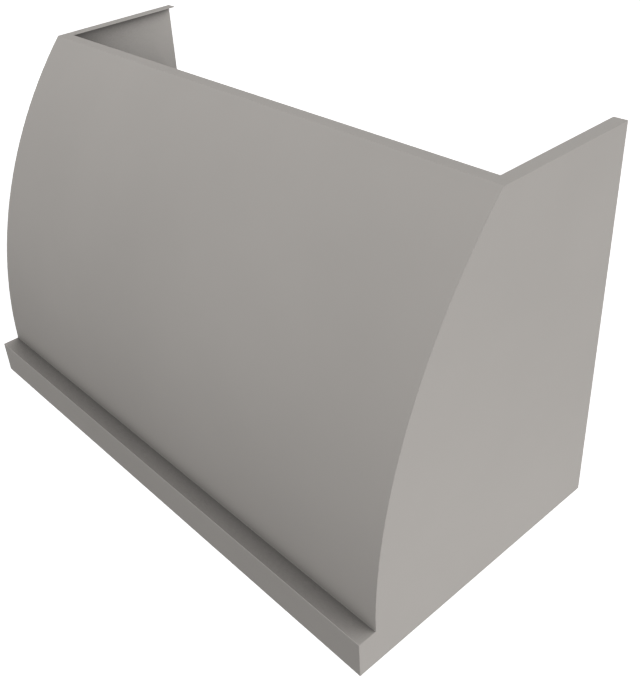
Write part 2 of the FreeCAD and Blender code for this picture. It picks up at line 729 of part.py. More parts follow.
def liner_stud_spots():
    """Places of the studs that hold the liner's flange down on the shell's bottom flanges."""
    spots = []
    for step in STUD_STEPS:
        spots.append((f"{step} * stud_pitch", "-(return_back + return_flange / 2)"))
        spots.append((f"{step} * stud_pitch", "-rail_depth / 2"))
    for step in SIDE_STEPS:
        for side in ("-", ""):
            spots.append((f"{side}(foot_half + return_flange / 2)", f"-{step} * hood_depth / 3"))
    return spots


def liner_skirt():
    """Sloping walls round the underside, with a flange that lies on the shell's bottom flanges."""
    body = new_body("liner_skirt", z="shell_gauge")
    foot = span("foot_half", "return_back", "rail_depth")
    head = span("deck_half", "deck_front", "deck_rear")
    for kind, gauge in (("Additive", "liner_gauge"), ("Subtractive", "0")):
        loft(body, kind, outline(body, "XY_Plane", grown(foot, gauge)),
             outline(body, "XY_Plane", grown(head, gauge), offset="liner_rise"))
    shell = span("inner_half", "hood_depth - shell_gauge", "shell_gauge")
    rim = outline(body, "XY_Plane", grown(shell, "-liner_clearance"), grown(foot))
    pad(body, rim, "liner_gauge")
    holes = [(x, y, "stud_radius + stud_clearance") for x, y in liner_stud_spots()]
    pocket(body, outline(body, "XY_Plane", *holes))


def lamp_spots():
    return [(f"{side} * {name}", "-strip_depth") for side in (-1, 1) for name in ("lamp_inner", "lamp_outer")]


def liner_deck():
    """Flat top of the liner with the filter bay, the lamp holes and the control cut-out."""
    body = new_body("liner_deck", z="deck_under")
    plate = grown(span("deck_half", "deck_front", "deck_rear"), "liner_gauge")
    pad(body, outline(body, "XY_Plane", plate), "liner_gauge")
    bay = grown(span("bay_half", "bay_front", "bay_rear"))
    fascia = span("panel_width / 2", "strip_depth + panel_depth / 2", "strip_depth - panel_depth / 2")
    keys = grown(fascia, "-panel_lap")
    lamps = [(x, y, "lamp_hole_radius") for x, y in lamp_spots()]
    pocket(body, outline(body, "XY_Plane", bay, keys, *lamps))


def liner_studs():
    upright = FreeCAD.Rotation()
    group("liner_studs", [stud(x, y, "shell_gauge", upright, "liner_gauge") for x, y in liner_stud_spots()])


# Filters

def filter_places():
    """Name and middle of each filter along X."""
    return [(name, f"{index - 1} * filter_pitch") for index, name in enumerate(FILTER_NAMES)]


def filter_frame(name, x):
    """Folded channel frame with lugs behind it for the hinge rod. Its origin is on the hinge line."""
    body = new_body(f"filter_{name}_frame", x, "-hinge_depth", "hinge_height")
    rim = span("filter_width / 2", "frame_front", "hinge_offset")
    wall = outline(body, "XY_Plane", grown(rim), grown(rim, "-filter_gauge"), offset="frame_low")
    pad(body, wall, "filter_thickness")
    for level in ("frame_low", "frame_high - filter_gauge"):
        lip = outline(body, "XY_Plane", grown(rim), grown(rim, "-filter_lip"), offset=level)
        pad(body, lip, "filter_gauge")
    for step in (-1, 0, 1):
        lug = outline(body, "YZ_Plane", [
            ("-hinge_offset", "-lug_radius"),
            ("0", "-lug_radius"),
            ("lug_radius", "0", "lug_radius", 1),
            ("0", "lug_radius", "lug_radius", 1),
            ("-hinge_offset", "lug_radius"),
        ], offset=f"{step} * lug_spread")
        pad(body, lug, "lug_width", symmetric=True)
    bore = outline(body, "YZ_Plane", ("0", "0", "rod_radius + fit_clearance"))
    pocket(body, bore, "filter_width")


def baffle_section(middle, level, up):
    """Folded channel with its web at a level, open upwards for up 1 and downwards for -1."""
    outer = "(blade_bend + blade_gauge)"
    left, right = f"{middle} - blade_width / 2", f"{middle} + blade_width / 2"
    bend = f"{level} + {up} * {outer}"
    web = f"{level} + {up} * blade_gauge"
    tip = f"{level} + {up} * blade_height"
    return [
        (f"{left} + {outer}", level, outer, up),
        (f"{right} - {outer}", level),
        (right, bend, outer, up),
        (right, tip),
        (f"{right} - blade_gauge", tip),
        (f"{right} - blade_gauge", bend),
        (f"{right} - {outer}", web, "blade_bend", -up),
        (f"{left} + {outer}", web),
        (f"{left} + blade_gauge", bend, "blade_bend", -up),
        (f"{left} + blade_gauge", tip),
        (left, tip),
        (left, bend),
    ]


def filter_baffles(name, x):
    """Two staggered rows of channels, open to each other, tied together by a strip at each end."""
    body = new_body(f"filter_{name}_baffles", x, "-hinge_depth", "hinge_height")
    low = "frame_low + filter_gauge"
    high = "frame_high - filter_gauge"
    for edge in ("-(frame_front - filter_gauge)", "-(hinge_offset + 2 * filter_gauge)"):
        strip = rectangle("-baffle_half", "baffle_half", edge, f"{edge} + filter_gauge")
        pad(body, outline(body, "XY_Plane", strip, offset=low), f"{high} - ({low})")
    for level, up, count in ((low, 1, BAFFLE_COUNT), (high, -1, BAFFLE_COUNT - 1)):
        section = baffle_section(f"{(1 - count) / 2} * baffle_pitch", level, up)
        channel = outline(body, "XZ_Plane", section, offset="hinge_offset + filter_gauge")
        blade = pad(body, channel, "frame_front - hinge_offset - 2 * filter_gauge")
        doc.recompute()
        row = body.newObject("PartDesign::LinearPattern", "row")
        row.Originals = [blade]
        row.Direction = (origin(body, "X_Axis"), [""])
        row.Mode = "Spacing"
        row.Occurrences = count
        bind(row, "Offset", "baffle_pitch")
        body.Tip = row
        doc.recompute()


def filter_rod(name, x):
    body = new_body(f"filter_{name}_rod", x, "-hinge_depth", "hinge_height")
    rod = outline(body, "YZ_Plane", ("0", "0", "rod_radius"))
    pad(body, rod, "filter_width - 2 * rod_inset", symmetric=True)


def filter_handle(name, x):
    """Bent rod under the front of a filter."""
    body = new_body(f"filter_{name}_handle", x, "-(hinge_depth + frame_front - filter_lip / 2)", "filter_low")
    spine = outline(body, "XZ_Plane", [
        ("-handle_span / 2", "0"),
        ("-handle_span / 2", "handle_bend - handle_drop"),
        ("-handle_span / 2 + handle_bend", "-handle_drop", "handle_bend", 1),
        ("handle_span / 2 - handle_bend", "-handle_drop"),
        ("handle_span / 2", "handle_bend - handle_drop", "handle_bend", 1),
        ("handle_span / 2", "0"),
    ], closed=False)
    profile = outline(body, "XY_Plane", ("-handle_span / 2", "0", "handle_radius"))
    doc.recompute()
    rod = body.newObject("PartDesign::AdditivePipe", "rod")
    rod.Profile = profile
    rod.Spine = (spine, [""])


def filter_hooks():
    """Open hooks on the deck that carry the hinge rods."""
    items = []
    foot = "deck_top - hinge_height"
    for name, x in filter_places():
        for side in (-1, 1):
            hook = loose_body(f"{x} + {side} * hook_spread", "-hinge_depth", "hinge_height")
            section = outline(hook, "YZ_Plane", [
                ("cradle_radius", "0", "cradle_radius", 1),
                ("cradle_radius", f"{foot} + hook_gauge"),
                ("hook_radius + hook_flange", f"{foot} + hook_gauge"),
                ("hook_radius + hook_flange", foot),
                ("hook_radius", foot),
                ("hook_radius", "0"),
                ("0", "-hook_radius", "hook_radius", -1),
                ("-hook_radius", "0", "hook_radius", -1),
                ("-cradle_radius", "0"),
                ("0", "-cradle_radius", "cradle_radius", 1),
            ])
            pad(hook, section, "hook_width", symmetric=True)
            items.append(hook)
    group("filter_hooks", items)


def filter_stop_rail():
    """Rail over the front of the bay that the filters come up against."""
    body = new_body("filter_stop_rail")
    section = outline(body, "YZ_Plane", [
        ("-(bay_front + stop_flange)", "deck_top"),
        ("-bay_front", "deck_top"),
        ("-bay_front", "stop_height"),
        ("-(bay_front - stop_reach)", "stop_height"),
        ("-(bay_front - stop_reach)", "stop_height + liner_gauge"),
        ("-(bay_front + liner_gauge)", "stop_height + liner_gauge"),
        ("-(bay_front + liner_gauge)", "deck_top + liner_gauge"),
        ("-(bay_front + stop_flange)", "deck_top + liner_gauge"),
    ])
    sheet = pad(body, section, "2 * bay_half", symmetric=True)
    inside = [("-(bay_front + liner_gauge)", "deck_top + liner_gauge"), ("-bay_front", "stop_height")]
    outside = [("-bay_front", "deck_top"), ("-(bay_front + liner_gauge)", "stop_height + liner_gauge")]
    fold(body, sheet, inside, outside, "bend_radius", "liner_gauge")


def filter_magnets():
    items = []
    for name, x in filter_places():
        for side in (-1, 1):
            middle = f"{x} + {side} * magnet_spread"
            items.append(block("magnet",
                               (f"{middle} - magnet_length / 2", f"{middle} + magnet_length / 2"),
                               ("-(bay_front - filter_gap)", "-(bay_front - filter_gap - magnet_width)"),
                               ("stop_height - magnet_height", "stop_height")))
    group("filter_magnets", items)


# Lamps

def lamp_bezel(x, y):
    """Turned ring below the deck with a snap tube through it."""
    body = loose_body(x, y, "deck_under")
    section = outline(body, "XZ_Plane", [
        ("lens_radius - bezel_lip", "-bezel_height"),
        ("lamp_radius - bezel_height / 2", "-bezel_height"),
        ("lamp_radius", "-bezel_height / 2"),
        ("lamp_radius", "0"),
        ("tube_radius", "0"),
        ("tube_radius", "liner_gauge + fit_clearance"),
        ("tube_radius + snap_bulge", "liner_gauge + fit_clearance + snap_bulge"),
        ("tube_radius", "liner_gauge + fit_clearance + 3 * snap_bulge"),
        ("tube_radius", "bezel_tube"),
        ("well_radius", "bezel_tube"),
        ("well_radius", "-bezel_height / 2"),
        ("lens_radius - bezel_lip", "-bezel_height / 2"),
    ])
    spin(body, section, "V_Axis")
    return body


def lamp_lens(x, y):
    """Round lens that lies on the bezel's ledge."""
    body = loose_body(x, y, "deck_under - bezel_height / 2")
    pad(body, outline(body, "XY_Plane", ("0", "0", "lens_radius")), "lens_thickness")
    return body


def lamp_body(x, y):
    """Finned body that stands on the lens."""
    body = loose_body(x, y, "deck_under - bezel_height / 2 + lens_thickness")
    corners = [("0", "0"), ("lens_radius", "0")]
    for step in range(FIN_COUNT):
        low = f"lamp_height - {FIN_COUNT - step} * fin_pitch"
        corners += [("lens_radius", low), ("lens_radius - fin_depth", low),
                    ("lens_radius - fin_depth", f"{low} + fin_gap"), ("lens_radius", f"{low} + fin_gap")]
    corners += [("lens_radius", "lamp_height"), ("0", "lamp_height")]
    spin(body, outline(body, "XZ_Plane", corners), "V_Axis")
    return body


def lamps():
    for label, make in (("lamp_bezels", lamp_bezel), ("lamp_lenses", lamp_lens), ("lamp_bodies", lamp_body)):
        group(label, [make(x, y) for x, y in lamp_spots()])


# Controls

def button_places():
    middle = (BUTTON_COUNT - 1) / 2
    return [f"{index - middle} * button_pitch" for index in range(BUTTON_COUNT)]


def control_fascia():
    """Plate with round corners under the deck, with a hole for each button."""
    body = new_body("control_fascia", "0", "-strip_depth", "fascia_low")
    wide, deep = "panel_width / 2", "panel_depth / 2"
    plate = [
        (f"-{wide} + panel_corner", f"-{deep}"),
        (f"{wide} - panel_corner", f"-{deep}"),
        (wide, f"-{deep} + panel_corner", "panel_corner", 1),
        (wide, f"{deep} - panel_corner"),
        (f"{wide} - panel_corner", deep, "panel_corner", 1),
        (f"-{wide} + panel_corner", deep),
        (f"-{wide}", f"{deep} - panel_corner", "panel_corner", 1),
        (f"-{wide}", f"-{deep} + panel_corner"),
        (f"-{wide} + panel_corner", f"-{deep}", "panel_corner", 1),
    ]
    holes = [(x, "0", "button_radius + button_play") for x in button_places()]
    sheet = pad(body, outline(body, "XY_Plane", plate[1:], *holes), "fascia_gauge")
    round_edges(body, sheet, lambda edge: edge.BoundBox.ZMax < 0.01 and not edge.isClosed(), "fascia_edge")


def control_button(number, x):
    """Round button with a dished face, a collar that rests on the fascia, and a stem."""
    body = new_body(f"control_button_{number}", x, "-strip_depth", "fascia_low")
    section = outline(body, "XZ_Plane", [
        ("0", "-button_proud + button_edge / 2"),
        ("button_radius - 2 * button_edge", "-button_proud + button_edge / 2"),
        ("button_radius - button_edge", "-button_proud"),
        ("button_radius", "-button_proud + button_edge"),
        ("button_radius", "fascia_gauge"),
        ("button_radius + button_collar", "fascia_gauge"),
        ("button_radius + button_collar", "fascia_gauge + button_collar"),
        ("button_radius / 2", "fascia_gauge + button_collar"),
        ("button_radius / 2", "stem_top"),
        ("0", "stem_top"),
    ])
    spin(body, section, "V_Axis")


def control_board():
    """Circuit board with a switch over each button."""
    body = new_body("control_board", "0", "-strip_depth", "board_low")
    wide = "(panel_width / 2 - case_gauge - board_clearance)"
    deep = "(panel_depth / 2 - case_gauge - board_clearance)"
    pad(body, outline(body, "XY_Plane", rectangle(f"-{wide}", wide, f"-{deep}", deep)), "board_gauge")
    side = "switch_size / 2"
    switches = [rectangle(f"{x} - {side}", f"{x} + {side}", f"-{side}", side) for x in button_places()]
    pad(body, outline(body, "XY_Plane", *switches), "switch_height", reverse=True)


def control_case():
    """Cover over the switches, with posts that hold the circuit board."""
    body = new_body("control_case", "0", "-strip_depth", "deck_top")
    height = "(case_top - deck_top)"
    outer = rectangle("-panel_width / 2", "panel_width / 2", "-panel_depth / 2", "panel_depth / 2")
    wide, deep = "(panel_width / 2 - case_gauge)", "(panel_depth / 2 - case_gauge)"
    pad(body, outline(body, "XY_Plane", outer), height)
    room = outline(body, "XY_Plane", rectangle(f"-{wide}", wide, f"-{deep}", deep))
    pocket(body, room, f"{height} - case_gauge", symmetric=False, reverse=True)
    step = "(board_clearance + 2 * post_radius)"
    corners = ((-1, -1), (1, -1), (1, 1), (-1, 1))
    posts = [(f"{x} * ({wide} - {step})", f"{y} * ({deep} - {step})", "post_radius") for x, y in corners]
    rests = outline(body, "XY_Plane", *posts, offset="board_top - deck_top")
    pad(body, rests, "case_headroom + case_gauge / 2")


# Plenum and blower box

BOX_EDGES = span("box_half", "box_front", "blower_back")


def plenum():
    """Tapered hopper over the filter bay, with a foot on the deck and a flange at the top."""
    body = new_body("plenum", z="deck_top")
    base = span("plenum_half", "plenum_front", "plenum_rear")
    inside = grown(base, "-plenum_gauge")
    throat = grown(BOX_EDGES, "-plenum_gauge")
    loft(body, "Additive", outline(body, "XY_Plane", grown(base), offset="plenum_wall"),
         outline(body, "XY_Plane", grown(BOX_EDGES), offset="plenum_rise"))
    loft(body, "Subtractive", outline(body, "XY_Plane", inside, offset="plenum_wall"),
         outline(body, "XY_Plane", throat, offset="plenum_rise"))
    pad(body, outline(body, "XY_Plane", grown(base), inside), "plenum_wall")
    pad(body, outline(body, "XY_Plane", grown(base, "plenum_flange"), inside), "plenum_gauge")
    top = outline(body, "XY_Plane", grown(BOX_EDGES, "box_flange"), throat, offset="plenum_rise")
    pad(body, top, "plenum_gauge", reverse=True)


def stadium(v, length, width):
    """A slot with round ends along X, level with v."""
    reach = f"(({length}) - ({width})) / 2"
    low, high, radius = f"{v} - ({width}) / 2", f"{v} + ({width}) / 2", f"({width}) / 2"
    return [
        (reach, low),
        (f"{reach} + {radius}", v, radius, 1),
        (reach, high, radius, 1),
        (f"-{reach}", high),
        (f"-{reach} - {radius}", v, radius, 1),
        (f"-{reach}", low, radius, 1),
    ]


def pressed_ribs(body, wall, outwards):
    """Two ribs pressed out of a wall of the blower box. Outwards is 1 on the front and -1 on the rear."""
    middle = "(box_top - plenum_top) / 2"
    levels = [f"{middle} + {step} * rib_pitch / 2" for step in (-1, 1)]
    outer = [stadium(level, "rib_length", "rib_width") for level in levels]
    pad(body, outline(body, "XZ_Plane", *outer, offset=wall), "rib_depth", reverse=outwards < 0)
    thin = "2 * plenum_gauge"
    inner = [stadium(level, f"rib_length - {thin}", f"rib_width - {thin}") for level in levels]
    face = outline(body, "XZ_Plane", *inner, offset=f"{wall} - {outwards} * plenum_gauge")
    pocket(body, face, "rib_depth", symmetric=False, reverse=outwards > 0)


def blower_box():
    """Four ribbed walls round the blower, with a flange on the plenum."""
    body = new_body("blower_box", z="plenum_top")
    inside = grown(BOX_EDGES, "-plenum_gauge")
    pad(body, outline(body, "XY_Plane", grown(BOX_EDGES), inside), "box_top - plenum_top")
    pad(body, outline(body, "XY_Plane", grown(BOX_EDGES, "box_flange"), inside), "plenum_gauge")
    pressed_ribs(body, "box_front", 1)
    pressed_ribs(body, "blower_back", -1)


def outlet(side):
    """Inside of a scroll's outlet seen from above."""
    near = "(scroll_inner + scroll_gauge)"
    far = "(scroll_outer - scroll_gauge)"
    low, high = (near, far) if side > 0 else (far, near)
    return rectangle(f"{side} * {low}", f"{side} * {high}", "-(axis_depth + volute_half)",
                     "-(axis_depth - volute_half - volute_three)")


def blower_box_lid():
    """Top of the blower box with a turned-down rim and an opening over each scroll's outlet."""
    body = new_body("blower_box_lid", z="box_top")
    edge = grown(BOX_EDGES, "fit_clearance + plenum_gauge")
    pad(body, outline(body, "XY_Plane", edge, outlet(-1), outlet(1)), "plenum_gauge")
    rim = outline(body, "XY_Plane", edge, grown(BOX_EDGES, "fit_clearance"))
    pad(body, rim, "lid_rim", reverse=True)


# Blower

def volute(gauge):
    """Scroll of three quarter turns, each wider than the last, with a straight neck."""
    start = f"sqrt((volute_one + {gauge})^2 - {gauge}^2) - volute_half"
    return [
        (f"-(volute_half + {gauge})", start),
        (f"-(volute_half + volute_one + {gauge})", "-volute_half", f"volute_one + {gauge}", 1),
        ("volute_half", f"-(volute_half + volute_two + {gauge})", f"volute_two + {gauge}", 1),
        (f"volute_half + volute_three + {gauge}", "volute_half", f"volute_three + {gauge}", 1),
        (f"volute_half + volute_three + {gauge}", "neck_top"),
        (f"-(volute_half + {gauge})", "neck_top"),
    ]


def scroll():
    """Sheet-metal scroll, open at the top and with an inlet in its outer side."""
    body = new_body("right_scroll", "scroll_middle", "-axis_depth", "axis_height")
    pad(body, outline(body, "YZ_Plane", volute("scroll_gauge")), "scroll_width", symmetric=True)
    pocket(body, outline(body, "YZ_Plane", volute("0")), "scroll_width - 2 * scroll_gauge")
    inlet = outline(body, "YZ_Plane", ("0", "0", "inlet_radius"))
    pocket(body, inlet, "scroll_width", symmetric=False, reverse=True)
    hub_hole = outline(body, "YZ_Plane", ("0", "0", "hub_radius"))
    pocket(body, hub_hole, "scroll_width", symmetric=False)
    half = "(scroll_width / 2 - scroll_gauge)"
    front = "(volute_half + scroll_gauge + scroll_flange)"
    throat = rectangle(f"-{half}", half, "-volute_half", "volute_half + volute_three")
    rim = rectangle(f"-({half} + scroll_gauge)", f"{half} + scroll_gauge", f"-{front}",
                    "volute_half + volute_three + scroll_gauge")
    pad(body, outline(body, "XY_Plane", rim, throat, offset="neck_top"), "scroll_gauge", reverse=True)
    return body


def inlet_ring():
    """Flared ring on a scroll's inlet."""
    body = loose_body("scroll_outer", "-axis_depth", "axis_height")
    section = outline(body, "XZ_Plane", [
        ("0", "inlet_radius - ring_gauge"),
        ("inlet_flare", "inlet_radius - ring_gauge + inlet_flare", "inlet_flare", -1),
        ("inlet_flare", "inlet_radius + inlet_flare"),
        ("0", "inlet_radius + inlet_flare"),
    ])
    spin(body, section, "H_Axis")
    return body


def polar(radius, angle):
    return f"{radius} * cos({angle})", f"{radius} * sin({angle})"


def wheel():
    """Cage of forward-curved blades between a back disc with a hub and an open rim."""
    body = new_body("right_wheel", "scroll_middle", "-axis_depth", "axis_height")
    inside = "-wheel_half"
    pad(body, outline(body, "YZ_Plane", ("0", "0", "wheel_radius"), offset=inside), "disc_gauge")
    pad(body, outline(body, "YZ_Plane", ("0", "0", "hub_radius"), offset=inside), "disc_gauge + hub_length")
    section = outline(body, "YZ_Plane", [
        polar("blade_foot", "0"),
        polar("(wheel_radius - disc_gauge)", "blade_sweep") + ("blade_curve", 1),
        polar("(wheel_radius - disc_gauge)", "(blade_sweep + blade_angle)"),
        polar("blade_foot", "blade_angle") + ("blade_curve", -1),
    ])
    blade = pad(body, section, "wheel_width - disc_gauge", symmetric=True)
    turned(body, blade, BLADE_COUNT)
    rim = outline(body, "YZ_Plane", ("0", "0", "wheel_radius"), ("0", "0", "wheel_radius - rim_width"),
                  offset="wheel_half")
    pad(body, rim, "disc_gauge", reverse=True)
    bore = outline(body, "YZ_Plane", ("0", "0", "shaft_radius + fit_clearance"))
    pocket(body, bore)
    return body


def motor_shaft():
    body = new_body("motor_shaft", "0", "-axis_depth", "axis_height")
    pad(body, outline(body, "YZ_Plane", ("0", "0", "shaft_radius")), "2 * shaft_half", symmetric=True)


def motor_can():
    body = new_body("motor_can", "0", "-axis_depth", "axis_height")
    section = outline(body, "YZ_Plane", ("0", "0", "motor_radius"), ("0", "0", "core_radius"))
    pad(body, section, "motor_length", symmetric=True)


def motor_bell():
    """End bell that holds a bearing in its boss."""
    body = loose_body("motor_length / 2", "-axis_depth", "axis_height")
    section = outline(body, "XZ_Plane", [
        ("0", "bearing_radius + fit_clearance"),
        ("bell_depth", "bearing_radius + fit_clearance"),
        ("bell_depth", "boss_radius"),
        ("bell_shoulder", "boss_radius"),
        ("bell_shoulder", "motor_radius - bell_shoulder"),
        ("0", "motor_radius"),
    ])
    spin(body, section, "H_Axis")
    vent = rectangle("-vent_width / 2", "vent_width / 2", "vent_inner", "vent_outer")
    slot = pocket(body, outline(body, "YZ_Plane", vent), "bell_depth", symmetric=False, reverse=True)
    turned(body, slot, VENT_COUNT)
    return body


def motor_bearing():
    body = loose_body("motor_length / 2", "-axis_depth", "axis_height")
    bore = ("0", "0", "shaft_radius + shaft_clearance")
    pad(body, outline(body, "YZ_Plane", ("0", "0", "bearing_radius"), bore), "bearing_width")
    return body


def motor_hanger():
    """Band round the motor, hung from the lid by a web and a foot."""
    body = new_body("motor_hanger", "0", "-axis_depth", "axis_height")
    grip = "(motor_radius + fit_clearance)"
    band = outline(body, "YZ_Plane", ("0", "0", f"{grip} + band_gauge"), ("0", "0", grip))
    pad(body, band, "band_width", symmetric=True)
    web = rectangle("-band_gauge / 2", "band_gauge / 2", f"{grip} + band_gauge / 2", "neck_top")
    pad(body, outline(body, "YZ_Plane", web), "band_width", symmetric=True)
    foot = rectangle("-band_foot / 2", "band_foot / 2", "neck_top - band_gauge", "neck_top")
    pad(body, outline(body, "YZ_Plane", foot), "band_width", symmetric=True)


# Duct

def quartered_circle(radius):
    """A circle over the collar's middle in four arcs, one for each side of the transition."""
    step = f"{radius} * sqrt(0.5)"
    front, rear = f"-collar_setback - {step}", f"-collar_setback + {step}"
    corners = ((f"-{step}", front), (step, front), (step, rear), (f"-{step}", rear))
    return [corner + (radius, 1) for corner in corners]


def discharge_transition():
    """Duct from the two outlets side by side to the round collar, with a flange on the lid."""
    body = new_body("discharge_transition", z="transition_low")
    base = span("transition_half", "transition_front", "transition_rear")
    inside = grown(base, "-plenum_gauge")
    walls = (("Additive", grown(base), "collar_radius"), ("Subtractive", inside, "bore_radius"))
    for kind, foot, radius in walls:
        loft(body, kind, outline(body, "XY_Plane", foot, offset="transition_wall"),
             outline(body, "XY_Plane", quartered_circle(radius), offset="transition_height"))
    pad(body, outline(body, "XY_Plane", grown(base), inside), "transition_wall")
    flange = span("transition_half + duct_flange", "transition_front + duct_flange", "transition_rear")
    pad(body, outline(body, "XY_Plane", grown(flange), inside), "plenum_gauge")


def duct_collar():
    """Round collar with a bead that the duct comes down to."""
    body = new_body("duct_collar", "0", "-collar_setback", "transition_top")
    section = outline(body, "XZ_Plane", [
        ("bore_radius", "0"),
        ("collar_radius", "0"),
        ("collar_radius", "bead_low"),
        ("collar_radius + bead_height", "bead_low + bead_width / 3"),
        ("collar_radius + bead_height", "bead_low + 2 * bead_width / 3"),
        ("collar_radius", "bead_low + bead_width"),
        ("collar_radius", "collar_height"),
        ("bore_radius", "collar_height"),
    ])
    spin(body, section, "V_Axis")
    pocket(body, outline(body, "YZ_Plane", ("0", "flap_rise", "pin_radius + fit_clearance")))


def damper_pin():
    body = new_body("damper_pin", "0", "-collar_setback", "flap_height")
    reach = "2 * sqrt(collar_radius^2 - pin_radius^2)"
    pad(body, outline(body, "YZ_Plane", ("0", "0", "pin_radius")), reach, symmetric=True)


def damper_flap(label, side, knuckles):
    """Half disc that swings up on the damper pin. Side is -1 for the front and 1 for the rear."""
    body = new_body(label, "0", "-collar_setback", "flap_height")
    reach = "sqrt(flap_radius^2 - flap_edge^2)"
    half_disc = [
        (f"-{reach}", f"{side} * flap_edge"),
        ("0", f"{side} * flap_radius", "flap_radius", -side),
        (reach, f"{side} * flap_edge", "flap_radius", -side),
    ]
    pad(body, outline(body, "XY_Plane", half_disc), "flap_gauge", symmetric=True)
    for step in knuckles:
        middle = f"{step} * (knuckle_length + knuckle_gap)"
        barrel = outline(body, "YZ_Plane", ("0", "0", "knuckle_radius"), offset=middle)
        pad(body, barrel, "knuckle_length", symmetric=True)
        low, high = ("0", "flap_edge + flap_gauge") if side > 0 else ("-(flap_edge + flap_gauge)", "0")
        strip = rectangle(low, high, "-flap_gauge / 2", "flap_gauge / 2")
        leaf = outline(body, "YZ_Plane", strip, offset=middle)
        pad(body, leaf, "knuckle_length", symmetric=True)
    bore = outline(body, "YZ_Plane", ("0", "0", "knuckle_bore"))
    pocket(body, bore, "2 * collar_radius")


def damper_seal():
    """Foam ring under the flaps, open where the pin passes."""
    body = new_body("damper_seal", "0", "-collar_setback", "flap_height - flap_gauge / 2")
    ring = outline(body, "XY_Plane", ("0", "0", "bore_radius"), ("0", "0", "bore_radius - seal_width"))
    pad(body, ring, "seal_height", reverse=True)
    passage = rectangle("-collar_radius", "collar_radius", "-flap_edge", "flap_edge")
    pocket(body, outline(body, "XY_Plane", passage))


# Electrics

def junction_box():
    """Open box on the side of the blower box, with a hole for the gland."""
    body = new_body("junction_box", "-box_half", "-junction_middle", "junction_low")
    back = rectangle("-junction_depth / 2", "junction_depth / 2", "0", "junction_height")
    room = rectangle("-junction_depth / 2 + junction_gauge", "junction_depth / 2 - junction_gauge",
                     "junction_gauge", "junction_height - junction_gauge")
    pad(body, outline(body, "YZ_Plane", back), "junction_width", reverse=True)
    hollow = outline(body, "YZ_Plane", room, offset="-junction_width")
    pocket(body, hollow, "junction_width - junction_gauge", symmetric=False, reverse=True)
    entry = ("-junction_width / 2", "0", "gland_radius - junction_gauge")
    lid = outline(body, "XY_Plane", entry, offset="junction_height")
    pocket(body, lid, "2 * junction_gauge", symmetric=False)


def junction_cover():
    body = new_body("junction_cover", "-(box_half + junction_width)", "-junction_middle", "junction_low")
    plate = rectangle("-junction_depth / 2", "junction_depth / 2", "0", "junction_height")
    pad(body, outline(body, "YZ_Plane", plate), "junction_gauge", reverse=True)


def cable_gland():
    """Ribbed gland that the supply cable comes in through."""
    body = new_body("cable_gland", "-(box_half + junction_width / 2)", "-junction_middle",
                    "junction_low + junction_height")
    section = outline(body, "XZ_Plane", [
        ("gland_bore", "-3 * junction_gauge"),
        ("gland_radius - junction_gauge - fit_clearance", "-3 * junction_gauge"),
        ("gland_radius - junction_gauge - fit_clearance", "0"),
        ("gland_radius", "0"),
        ("gland_radius", "gland_height / 2"),
        ("gland_radius - junction_gauge", "gland_height / 2"),
        ("gland_bore + junction_gauge", "gland_height"),
        ("gland_bore", "gland_height"),
    ])
    spin(body, section, "V_Axis")


def capacitor():
    """Round can with a crimped head and two flat terminals."""
    body = new_body("motor_capacitor", "box_half + strap_reach", "-junction_middle", "junction_low")
    groove = "capacitor_height - 2 * crimp_height"
    section = outline(body, "XZ_Plane", [
        ("0", "0"),
        ("capacitor_radius - crimp_groove", "0"),
        ("capacitor_radius", "crimp_groove"),
        ("capacitor_radius", groove),
        ("capacitor_radius - crimp_groove", f"{groove} + crimp_groove"),
        ("capacitor_radius", f"{groove} + 2 * crimp_groove"),
        ("capacitor_radius", "capacitor_height"),
        ("capacitor_radius - crimp_groove", "capacitor_height"),
        ("capacitor_radius - crimp_groove", "capacitor_height - crimp_height / 2"),
        ("0", "capacitor_height - crimp_height / 2"),
    ])
    spin(body, section, "V_Axis")
    blades = [rectangle(f"{side} * terminal_gap / 2 - terminal_gauge / 2",
                        f"{side} * terminal_gap / 2 + terminal_gauge / 2",
                        "-terminal_width / 2", "terminal_width / 2") for side in (-1, 1)]
    head = outline(body, "XY_Plane", *blades, offset="capacitor_height - crimp_height / 2")
    pad(body, head, "terminal_height")


def capacitor_strap():
    """Strap that holds the capacitor on the side of the blower box."""
    body = new_body("capacitor_strap", "box_half + strap_reach", "-junction_middle",
                    "junction_low + capacitor_height / 2")
    band = outline(body, "XY_Plane", ("0", "0", "strap_reach"), ("0", "0", "strap_reach - strap_gauge"))
    pad(body, band, "strap_width", symmetric=True)
    ears = rectangle("-strap_reach", "strap_gauge - strap_reach", "-(strap_reach + strap_width)",
                     "strap_reach + strap_width")
    pad(body, outline(body, "XY_Plane", ears), "strap_width", symmetric=True)


def build():
    front_panel()
    side_panel("right_side_panel", 1)
    side_panel("left_side_panel", -1)
    lower_rear_rail()
    hanging_rail()
    wall_cleat()
    rail_studs()
    liner_skirt()
    liner_deck()
    liner_studs()
    for name, x in filter_places():
        filter_frame(name, x)
        filter_baffles(name, x)
        filter_rod(name, x)
        filter_handle(name, x)
    filter_hooks()
    filter_stop_rail()
    filter_magnets()
    lamps()
    control_fascia()
    for index, x in enumerate(button_places(), start=1):
        control_button(index, x)
    control_board()
    control_case()
    plenum()
    blower_box()
    blower_box_lid()
    piece(reflection(scroll()), "left_scroll")
    pair("inlet_rings", inlet_ring())
    piece(reflection(wheel()), "left_wheel")
    motor_shaft()
    motor_can()
    pair("motor_end_bells", motor_bell())
    pair("motor_bearings", motor_bearing())
    motor_hanger()
    discharge_transition()
    duct_collar()
    damper_pin()
    damper_flap("damper_flap_front", -1, (-2.5, 1.5))
    damper_flap("damper_flap_rear", 1, (-1.5, 2.5))
    damper_seal()
    junction_box()
    junction_cover()
    cable_gland()
    capacitor()
    capacitor_strap()
    doc.recompute()


